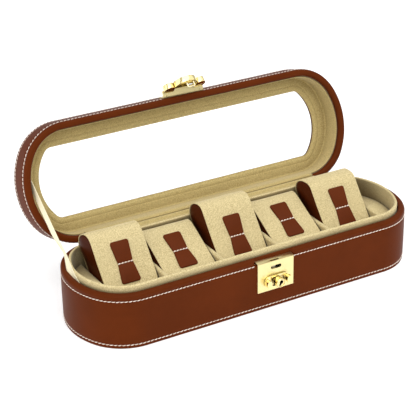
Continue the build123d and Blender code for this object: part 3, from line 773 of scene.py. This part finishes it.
def lid_seams():
    places = seam_places(-0.0005, 0.00030, beside_fittings, in_lid=True)
    places += seam_places(0.0188, 0.00030, in_lid=True)
    stitch_mesh("lid_stitches", places, **SEAM_STITCH, body="lid", nodes=["lid_stitching"])


# ---- strips across the hinge
SPINE_THICK = 0.0009
SPINE_MIDDLE = HALF_DEPTH + SPINE_THICK / 2 + 0.00012
SPINE_FOOT = 0.034
LINING_HALF = 0.122
LINING_THICK = 0.0005
LINING_LOW = BEAD_TOP + 0.00012 + LINING_THICK / 2
FOLD_COUNT = 3
FOLD_HEIGHT = 0.0020


def unit_tangents(path):
    tangent = np.gradient(path, axis=0)
    return tangent / np.linalg.norm(tangent, axis=1)[:, None]


def turned_left(directions):
    return np.stack([-directions[:, 1], directions[:, 0]], 1)


def smooth_path(points, count):
    """A smooth curve near the points, evenly spaced."""
    points = np.asarray(points, float)
    for _ in range(3):
        cut = [points[0]]
        for a, b in zip(points[:-1], points[1:]):
            cut += [a * 0.75 + b * 0.25, a * 0.25 + b * 0.75]
        points = np.array(cut + [points[-1]])
    along = distances(points)
    return read_at(np.linspace(0, along[-1], count), along, points)


def strip(name, path, half_length, thickness, mat, node):
    """A flat strip along X whose section follows a path of (y, z), thin at its two edges."""
    columns = 60
    thin = np.ones((len(path), 1))
    thin[0] = thin[-1] = 0.35
    side = turned_left(unit_tangents(path)) * thickness / 2 * thin
    loop = np.vstack([path + side, (path - side)[::-1]])
    rows = [np.column_stack([np.full(len(loop), x), loop])
            for x in np.linspace(-half_length, half_length, columns)]
    faces = grid_faces(columns, len(loop), True)
    faces += [row_cap(0, len(loop)), row_cap(columns - 1, len(loop))]
    return add_mesh(name, np.vstack(rows), faces, mat, nodes=[node])


def hinge_spine():
    """The leather strip down the back, from the base to the lid."""
    points = [(SPINE_MIDDLE, SPINE_FOOT), (SPINE_MIDDLE, 0.0446),
              lid_section(SPINE_MIDDLE + 0.0003, -0.0043), lid_section(SPINE_MIDDLE, 0.009)]
    spine = strip("hinge_spine_leather", smooth_path(points, 40), SPINE_HALF, SPINE_THICK,
                  SADDLE, "hinge_spine")
    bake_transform(spine)


def hinge_lining():
    """The velour strip inside the hinge, which lies in soft folds."""
    inner_edge = HALF_DEPTH - 0.0026
    bend_edge = HALF_DEPTH - 0.0044
    points = [(HALF_DEPTH - 0.0054, LINING_LOW), (inner_edge, LINING_LOW),
              lid_section(bend_edge, -0.0065), lid_section(HALF_DEPTH - 0.0070, -0.0059),
              lid_section(HALF_DEPTH - 0.0074, -0.0005)]
    path = smooth_path(points, 90)
    along = np.linspace(0, 1, len(path))
    fold = FOLD_HEIGHT * np.sin(math.pi * along) ** 0.5
    fold = fold * (0.5 - 0.5 * np.cos(2 * math.pi * FOLD_COUNT * along)) ** 0.6
    path = path + turned_left(unit_tangents(path)) * fold[:, None]
    # the darker velour paints shade on the strip behind the collar
    lining = strip("hinge_lining_velour", path, LINING_HALF, LINING_THICK, SHADED_VELOUR,
                   "hinge_lining")
    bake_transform(lining)


# ---- ribbon stay
RIBBON_HALF = 0.005
RIBBON_THICK = 0.0004
RIBBON_COLUMNS, RIBBON_ROWS = 11, 70
GROOVE_INSET = 0.0072
TAIL_Z = BEAD_TOP - 0.0022
TUCK_RISE = 0.022  # over this height the tuck eases out
HEAD_SLOPE = 0.0030  # the glued end is cut on the slant
EDGE_TURN = 0.0022  # the lower edge rolls out over the rim
RIBBON_SAG = 0.0007


def smooth_share(value):
    value = np.clip(value, 0.0, 1.0)
    return value * value * (3 - 2 * value)


def groove_x(y):
    """Where the groove between the rim and the collar runs, at the left end."""
    end = BOX["end"] - GROOVE_INSET
    y = min(max(y, -0.03), 0.03)
    return -(BOX["half_x"] - BOX["end"]) - math.sqrt(end ** 2 - y ** 2)


def ribbon_faces():
    """Both sides of the ribbon and the thin wall round its border."""
    columns, rows = RIBBON_COLUMNS, RIBBON_ROWS
    size = columns * rows
    faces = grid_faces(rows, columns, False) + grid_faces(rows, columns, False, start=size)
    border = [r * columns for r in range(rows)]
    border += [(rows - 1) * columns + c for c in range(1, columns)]
    border += [r * columns + columns - 1 for r in range(rows - 2, -1, -1)]
    border += list(range(columns - 2, 0, -1))
    for first, second in zip(border, border[1:] + border[:1]):
        faces.append((first, second, second + size, first + size))
    return faces


def ribbon_stay():
    """The taut ribbon, from the groove behind the rim to its glued end in the lid."""
    foot = np.array([-0.1631, 0.0047, BEAD_TOP + 0.0001])
    head = lid_point(-0.1611, -0.0045, 0.0015)
    run = head - foot
    run_length = np.linalg.norm(run)
    run_unit = run / run_length
    across_unit = np.cross(run, (1, 0, 0))
    across_unit /= np.linalg.norm(across_unit)
    points = []
    for layer in (1, -1):
        for t in np.arange(RIBBON_ROWS) / (RIBBON_ROWS - 1):
            for share in 2 * np.arange(RIBBON_COLUMNS) / (RIBBON_COLUMNS - 1) - 1:
                edge = foot + across_unit * (RIBBON_HALF * share)
                start = (TAIL_Z - edge[2]) / run_unit[2]
                slope = HEAD_SLOPE * (0.5 - share / 2)
                point = edge + run_unit * (start + (run_length + slope - start) * t)
                rise = smooth_share((point[2] - BEAD_TOP) / TUCK_RISE)
                tuck = groove_x(point[1]) - EDGE_TURN * max(share + 0.2, 0.0)
                sag = RIBBON_SAG * math.sin(math.pi * t) * math.cos(share * 1.2)
                point[0] = tuck * (1 - rise) + point[0] * rise + sag + layer * RIBBON_THICK / 2
                points.append(point)
    ribbon = add_mesh("ribbon_stay_satin", points, ribbon_faces(), RIBBON,
                      nodes=["ribbon_stay"])
    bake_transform(ribbon)


def make_lid():
    lid_cover()
    lid_rim()
    lid_lining()
    lid_seams()
    hinge_spine()
    hinge_lining()
    ribbon_stay()


# ---- cushions
SECTION_COUNT = 112
END_PROFILE = ((1.5, 1.22), (1.0, 1.20), (0.55, 1.10), (0.2, 0.86), (0.02, 0.52), (0.10, 0.2),
               (0.42, 0.03), (1.0, 0.0), (2.0, -0.02))  # (in from the end, inset), in mm
INNER_COLUMNS = 20
INNER_START = 0.0042
BULGE = 0.0027
RIGHT_SHARE = -0.35  # the right ends draw in instead
BULGE_FROM_Z, CREST_FROM_Z = 0.044, 0.046
CREST_LIFT = 0.0013
BULGE_EASE, CREST_EASE = 0.016, 0.020
CHEEK_LEVELS = [  # (share of the way to the middle, then depth and inset in mm)
    (0.0, 1.35, 1.12), (0.0, 0.85, 1.14), (0.01, 0.55, 1.2), (0.04, 0.32, 1.3),
    (0.12, 0.05, 1.5), (0.28, -0.2, 1.5), (0.5, -0.36, 1.5), (0.8, -0.45, 1.5),
]
TAB_HEIGHT = 0.0365
TAB_WAIST = 0.0071
TAB_TOP_HALF, TAB_FOOT_HALF = 0.0090, 0.0093
TAB_THICK = 0.0015
TAB_CORNER = 0.0024
TAB_EDGE_STEPS = (0.0, 0.0, 0.00012, 0.00035, 0.0008, 0.0016)
TAB_EDGE_LEVELS = (-0.0003, 0.0008, 0.00118, 0.00138, 0.00148)
TAB_PUFF, TAB_PINCH, TAB_PINCH_WIDTH = 0.0007, 0.00062, 0.0011
TOP_STRETCH = 1.1  # the tab's upper wing is the longer one
TAB_STITCH_COUNT, TAB_STITCH_PITCH = 5, 0.00302
PUFF_FRAMES = 14
PUFF_CAP = 0.0011


def convex_outline(points):
    """Convex hull of plane points, anticlockwise."""
    ordered = sorted(set((round(float(a), 6), round(float(b), 6)) for a, b in points))

    def half(sequence):
        chain = []
        for p in sequence:
            while len(chain) > 1:
                (ax, ay), (bx, by) = chain[-2], chain[-1]
                if (bx - ax) * (p[1] - ay) - (by - ay) * (p[0] - ax) > 1e-12:
                    break
                chain.pop()
            chain.append(p)
        return chain[:-1]

    return np.array(half(ordered) + half(ordered[::-1]))


def section_of(node):
    """A cushion's outline (y, z) and outward normals, from its CAD solid."""
    mesh = frame["nodes"][node].data
    outline = resample(convex_outline(coordinates(mesh)[:, 1:]), SECTION_COUNT)
    for _ in range(2):
        outline = (np.roll(outline, 1, 0) + 6 * outline + np.roll(outline, -1, 0)) / 8
    tangent = np.roll(outline, -1, 0) - np.roll(outline, 1, 0)
    tangent /= np.linalg.norm(tangent, axis=1)[:, None]
    return outline, np.stack([tangent[:, 1], -tangent[:, 0]], 1)


def front_face(outline, normal):
    """The long sloping front face: its top end, its direction up, and its outward normal."""
    same_way = 0.012  # radians between neighbours on one face
    ends, longest = None, 0
    count = len(outline)
    facing = np.arctan2(normal[:, 1], normal[:, 0])
    for i in range(count):
        length = 0
        while length < count and abs(facing[(i + length) % count] - facing[i]) < same_way:
            length += 1
        mean = normal[(i + length // 2) % count]
        if length > longest and mean[0] < -0.3 and mean[1] > 0.3:
            ends, longest = (i, (i + length - 1) % count), length
    a, b = outline[ends[0]], outline[ends[1]]
    top, low = (a, b) if a[1] > b[1] else (b, a)
    up = (top - low) / np.linalg.norm(top - low)
    return top, up, np.array([-up[1], up[0]])


def puff(obj, held, pressure):
    """Blow the cover out from its sewn edges with a short cloth simulation, and keep the result."""
    rest = coordinates(obj.data)
    group = obj.vertex_groups.new(name="held")
    group.add(held, 1.0, "REPLACE")
    cloth = obj.modifiers.new("cloth", "CLOTH")
    settings = cloth.settings
    settings.quality = 5
    settings.mass = 0.2
    settings.tension_stiffness = 18
    settings.compression_stiffness = 12
    settings.bending_stiffness = 1.5
    settings.use_pressure = True
    settings.uniform_pressure_force = pressure
    settings.effector_weights.gravity = 0
    settings.vertex_group_mass = "held"
    cloth.collision_settings.use_collision = False
    cloth.point_cache.frame_start = 1
    cloth.point_cache.frame_end = PUFF_FRAMES
    for number in range(1, PUFF_FRAMES + 1):
        bpy.context.scene.frame_set(number)
    shaped = obj.evaluated_get(bpy.context.evaluated_depsgraph_get())
    moved = coordinates(shaped.data) - rest
    obj.modifiers.remove(cloth)
    obj.vertex_groups.clear()
    bpy.context.scene.frame_set(1)
    size = np.linalg.norm(moved, axis=1)
    capped = PUFF_CAP * np.tanh(size / PUFF_CAP) / np.maximum(size, 1e-9)
    share = np.where(size > 1e-9, capped, 0)
    set_coordinates(obj.data, rest + moved * share[:, None])


def tab_half_width(v):
    """Bow-tie outline: v from -1 at the foot to 1 at the top."""
    end = TAB_TOP_HALF if v > 0 else TAB_FOOT_HALF
    pull = max(abs(v) - 0.03, 0.0) ** 0.85
    return TAB_WAIST + (end - TAB_WAIST) * pull


def tab_steps(half, count):
    """Places across the tab, close together at its two edges."""
    inner = half - 0.0026
    steps = [-half + s for s in TAB_EDGE_STEPS]
    steps += list(np.linspace(-inner, inner, count))
    steps += [half - s for s in reversed(TAB_EDGE_STEPS)]
    return steps


def tab_level(index, count):
    """The height of the rolled edge, by how many steps in from the nearest side."""
    steps_in = min(index, count - 1 - index)
    return TAB_EDGE_LEVELS[steps_in] if steps_in < len(TAB_EDGE_LEVELS) else TAB_THICK


class Cushion:
    """One watch cushion: a padded cover, two leather cheeks and a bow-tie tab."""

    def __init__(self, number):
        self.number = number
        self.body = f"cushion_{number}"
        self.centre_x = SLOT_SHIFT + (number - 3) * SLOT_PITCH
        self.left = self.centre_x - CUSHION_LENGTH / 2
        self.outline, self.normal = section_of(f"{self.body}_roll")
        self.corner, self.up, self.out = front_face(self.outline, self.normal)
        tall = number % 2
        rise = smooth_share((self.outline[:, 1] - CREST_FROM_Z) / CREST_EASE)
        self.outline[:, 1] += tall * CREST_LIFT * rise
        self.roll = self.make_cover()
        self.make_cheeks()
        self.make_tab()

    def end_bulge(self, points):
        """How far the ends swell sideways above the dividers, behind the front face."""
        behind = (self.corner - points) @ self.out
        above = points[:, 1] - BULGE_FROM_Z
        return BULGE * smooth_share(behind / BULGE_EASE) * smooth_share(above / BULGE_EASE)

    def cover_row(self, x, inset):
        """The section at a place along the cushion."""
        ring = self.outline - self.normal * inset
        from_middle = 2 * x / CUSHION_LENGTH - 1
        side_share = -1.0 if from_middle < 0 else RIGHT_SHARE
        swell = self.end_bulge(ring) * side_share * from_middle ** 4
        return np.column_stack([self.left + x + swell, ring])

    def make_cover(self):
        ends = [(x * MM, inset * MM) for x, inset in END_PROFILE]
        inner = np.linspace(INNER_START, CUSHION_LENGTH - INNER_START, INNER_COLUMNS)
        columns = ends + [(x, 0.0) for x in inner]
        columns += [(CUSHION_LENGTH - x, inset) for x, inset in reversed(ends)]
        rows = [self.cover_row(x, inset) for x, inset in columns]
        roll = add_mesh(f"{self.body}_cover", np.vstack(rows),
                        grid_faces(len(rows), SECTION_COUNT, True), VELOUR, self.body,
                        [f"{self.body}_roll"])
        sewn = len(END_PROFILE) - 1
        held_rows = list(range(sewn)) + list(range(len(columns) - sewn, len(columns)))
        held = [r * SECTION_COUNT + k for r in held_rows for k in range(SECTION_COUNT)]
        puff(roll, held, pressure=3.0)
        soften(roll, 0.00025, 60, seed=self.number * 1.3)
        points = coordinates(roll.data)
        points[:, 2] = np.maximum(points[:, 2], self.outline[:, 1].min() - 0.0001)
        limit = CUSHION_LENGTH / 2 + 0.0003 + self.end_bulge(points[:, 1:])
        points[:, 0] = np.clip(points[:, 0], self.centre_x - limit, self.centre_x + limit)
        set_coordinates(roll.data, points)
        return roll

    def make_cheeks(self):
        """The leather end covers, darkened as painted shade, flush with the cover and slightly
        domed.
        """
        middle = self.outline.mean(0)
        points, faces = [], []
        for on_left in (True, False):
            start = len(points)
            for share, depth, inset in CHEEK_LEVELS:
                ring = self.outline - self.normal * inset * MM
                ring = ring + (middle - ring) * share
                swell = self.end_bulge(ring)
                if on_left:
                    x = self.left - swell + depth * MM
                else:
                    x = self.left + CUSHION_LENGTH + swell * RIGHT_SHARE - depth * MM
                points += list(np.column_stack([x, ring]))
            faces += grid_faces(len(CHEEK_LEVELS), SECTION_COUNT, True, start=start)
            faces.append(row_cap(len(CHEEK_LEVELS) - 1, SECTION_COUNT, start))
        cheeks = add_mesh(f"{self.body}_cheek_leather", points, faces, SHADED_CHEEK, self.body,
                          [f"{self.body}_cheeks"])
        soften(cheeks, 0.0001, 45, seed=self.number)

    def make_tab(self):
        """The bow-tie tab, which follows the padded face and is drawn in at its stitches."""
        low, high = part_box(f"{self.body}_tab")
        centre = np.array([(low[1] + high[1]) / 2, (low[2] + high[2]) / 2])
        mesh = self.roll.data
        surface = BVHTree.FromPolygons([v.co for v in mesh.vertices],
                                       [tuple(p.vertices) for p in mesh.polygons])
        outward = np.array([0, *self.out])

        def base_point(u, v):
            start = np.array([self.centre_x + u, *(centre + self.up * v + self.out * 0.02)])
            return np.array(surface.ray_cast(Vector(start), Vector(-outward), 0.05)[0])

        half = TAB_HEIGHT / 2
        rows = []
        vs = tab_steps(half, 45)
        for i, v in enumerate(vs):
            width = tab_half_width(v / half)
            from_end = half - abs(v)
            if from_end < TAB_CORNER:
                width -= TAB_CORNER - math.sqrt(TAB_CORNER ** 2 - (TAB_CORNER - from_end) ** 2)
            waist = math.exp(-(v / TAB_PINCH_WIDTH) ** 2)
            crown = TAB_PUFF * math.sin(math.pi * min(abs(v) / half, 1.0))
            row = []
            us = tab_steps(width, 11)
            for j, u in enumerate(us):
                height = min(tab_level(i, len(vs)), tab_level(j, len(us)))
                if height > 0:
                    height += crown * (1 - (u / width) ** 2) - TAB_PINCH * waist
                base = base_point(u, v * TOP_STRETCH if v > 0 else v)
                row.append(base + outward * height)
            rows.append(row)
        add_mesh(f"{self.body}_tab_leather", np.vstack(rows),
                 grid_faces(len(rows), len(rows[0]), False), TAB, self.body,
                 [f"{self.body}_tab"])
        places = []
        for k in range(TAB_STITCH_COUNT):
            base = base_point((k - (TAB_STITCH_COUNT - 1) / 2) * TAB_STITCH_PITCH, 0.0)
            places.append((base + outward * 0.00112, (1, 0, 0), outward))
        stitch_mesh(f"{self.body}_tab_stitches", places, **TAB_STITCH, body=self.body, slant=0.1)


# ---- metal, pane and carried nodes
def crisp_copy(node, width, mat, body):
    """A CAD part again, with its edges rounded so that they catch the light."""
    mesh = frame["nodes"][node].data.copy()
    mesh.materials.clear()
    mesh.materials.append(mat)
    obj = new_object(node + "_finish", mesh)
    work = bmesh.new()
    work.from_mesh(mesh)
    bmesh.ops.remove_doubles(work, verts=work.verts, dist=2e-6)
    bmesh.ops.dissolve_limit(work, angle_limit=math.radians(1.5), verts=work.verts,
                             edges=work.edges)
    work.to_mesh(mesh)
    work.free()
    mesh.shade_smooth()
    bevel = obj.modifiers.new("bevel", "BEVEL")
    bevel.width = width
    bevel.segments = 3
    bevel.limit_method = "ANGLE"
    bevel.angle_limit = math.radians(34)
    bevel.harden_normals = True
    shaped = obj.evaluated_get(bpy.context.evaluated_depsgraph_get())
    final = bpy.data.meshes.new_from_object(shaped)
    obj.modifiers.clear()
    obj.data = final
    settle(obj, body, [node])
    return obj


FINISHES = (  # (node, width of its rounded edges, material, body)
    ("lock_barrel", 0.0003, GILT, "base"),
    ("key_plug", 0.00015, GILT, "plug"),
    ("lock_slider", 0.00035, GILT, "slider"),
    ("hasp_rivets", 0.0001, GILT, "lid"),
    ("hasp_flap", 0.0003, GILT, "hasp"),
    ("lock_plate", 0.00025, PLATE_GILT, "base"),
    ("hasp_bracket", 0.0002, PLATE_GILT, "lid"),
)
NODE_LOOKS = {
    "base_shell": BOARD, "lid_shell": BOARD, "base_underside": CLOTH,
    "lock_latch": STEEL, "lock_case": STEEL, "lock_rivets": STEEL, "lock_spring": STEEL,
    "hasp_spring": STEEL, "hasp_pin": BRIGHT_GILT, "hasp_staple": BRIGHT_GILT,
}


def dress_node(node, mat):
    """A carried-over CAD node keeps its mesh and gets a better material."""
    mesh = frame["nodes"][node].data
    if not mesh.materials:
        mesh.materials.append(mat)
    for index in range(len(mesh.materials)):
        mesh.materials[index] = mat


def make_fittings():
    for finish in FINISHES:
        crisp_copy(*finish)
    pane = crisp_copy("window_pane", 0.00015, PANE, "lid")
    pane.visible_shadow = False  # clear, so it shelters nothing behind it
    for node, mat in NODE_LOOKS.items():
        dress_node(node, mat)


# ---- floor, light and camera
FLOOR_HALF = 6.0
FLOOR_GREY = 0.74
WORLD_POWER = 0.56
CAMERA_AZIMUTH, CAMERA_ELEVATION = math.radians(-29.71), math.radians(26.12)
CAMERA_DISTANCE = 1.22125
CAMERA_TARGET = Vector((-0.02948, 0.0, 0.08058))
CAMERA_ROLL = 0.0151
CAMERA_LENS = 118.4


def grey(tone):
    return (tone, tone, tone)


def make_floor():
    mat, tree, shader = new_material("studio_floor", grey(FLOOR_GREY), 0.9,
                                     Emission_Color=(1, 1, 1, 1), Emission_Strength=0.44)
    tone = noise_value(tree, object_coordinates(tree), scale=3)
    tree.links.new(ramp(tree, tone, (0.3, grey(FLOOR_GREY - 0.005)),
                        (0.7, grey(FLOOR_GREY + 0.005))), shader.inputs["Base Color"])
    half = FLOOR_HALF
    corners = [(-half, -half, 0), (half, -half, 0), (half, half, 0), (-half, half, 0)]
    add_mesh("studio_floor", corners, [(0, 1, 2, 3)], mat)


def make_world():
    world = bpy.data.worlds.new("studio")
    world.use_nodes = True
    set_sockets(world.node_tree.nodes["Background"], Color=(1, 1, 1, 1), Strength=WORLD_POWER)
    bpy.context.scene.world = world


def direction_to(azimuth, elevation):
    """Towards a place in the studio; azimuth 0 is the front, positive to the right."""
    return Vector((math.sin(azimuth) * math.cos(elevation),
                   -math.cos(azimuth) * math.cos(elevation), math.sin(elevation)))


def soft_sun(name, azimuth, elevation, power, width):
    """A large, even light from far away; angles in degrees."""
    light = bpy.data.lights.new(name, "SUN")
    light.energy = power
    light.angle = math.radians(width)
    obj = new_object(name, light)
    towards = direction_to(math.radians(azimuth), math.radians(elevation))
    obj.rotation_mode = "QUATERNION"
    obj.rotation_quaternion = (-towards).to_track_quat("-Z", "Y")


def make_lights():
    soft_sun("top", azimuth=10, elevation=72, power=1.25, width=60)
    soft_sun("front", azimuth=-25, elevation=38, power=0.85, width=50)
    soft_sun("right", azimuth=75, elevation=30, power=0.35, width=50)
    soft_sun("left", azimuth=-100, elevation=25, power=0.55, width=50)


def make_camera():
    data = bpy.data.cameras.new("camera")
    data.sensor_width = 36
    data.lens = CAMERA_LENS
    camera = new_object("camera", data)
    away = direction_to(CAMERA_AZIMUTH, CAMERA_ELEVATION)
    camera.location = CAMERA_TARGET + away * CAMERA_DISTANCE
    camera.rotation_mode = "QUATERNION"
    upright = (-away).to_track_quat("-Z", "Y")
    camera.rotation_quaternion = upright @ Quaternion((0, 0, 1), -CAMERA_ROLL)
    bpy.context.scene.camera = camera


make_base()
make_lid()
for cushion_number in range(1, 6):
    Cushion(cushion_number)
make_fittings()
make_floor()
make_world()
make_lights()
make_camera()
bpy.context.scene.view_settings.view_transform = "Standard"
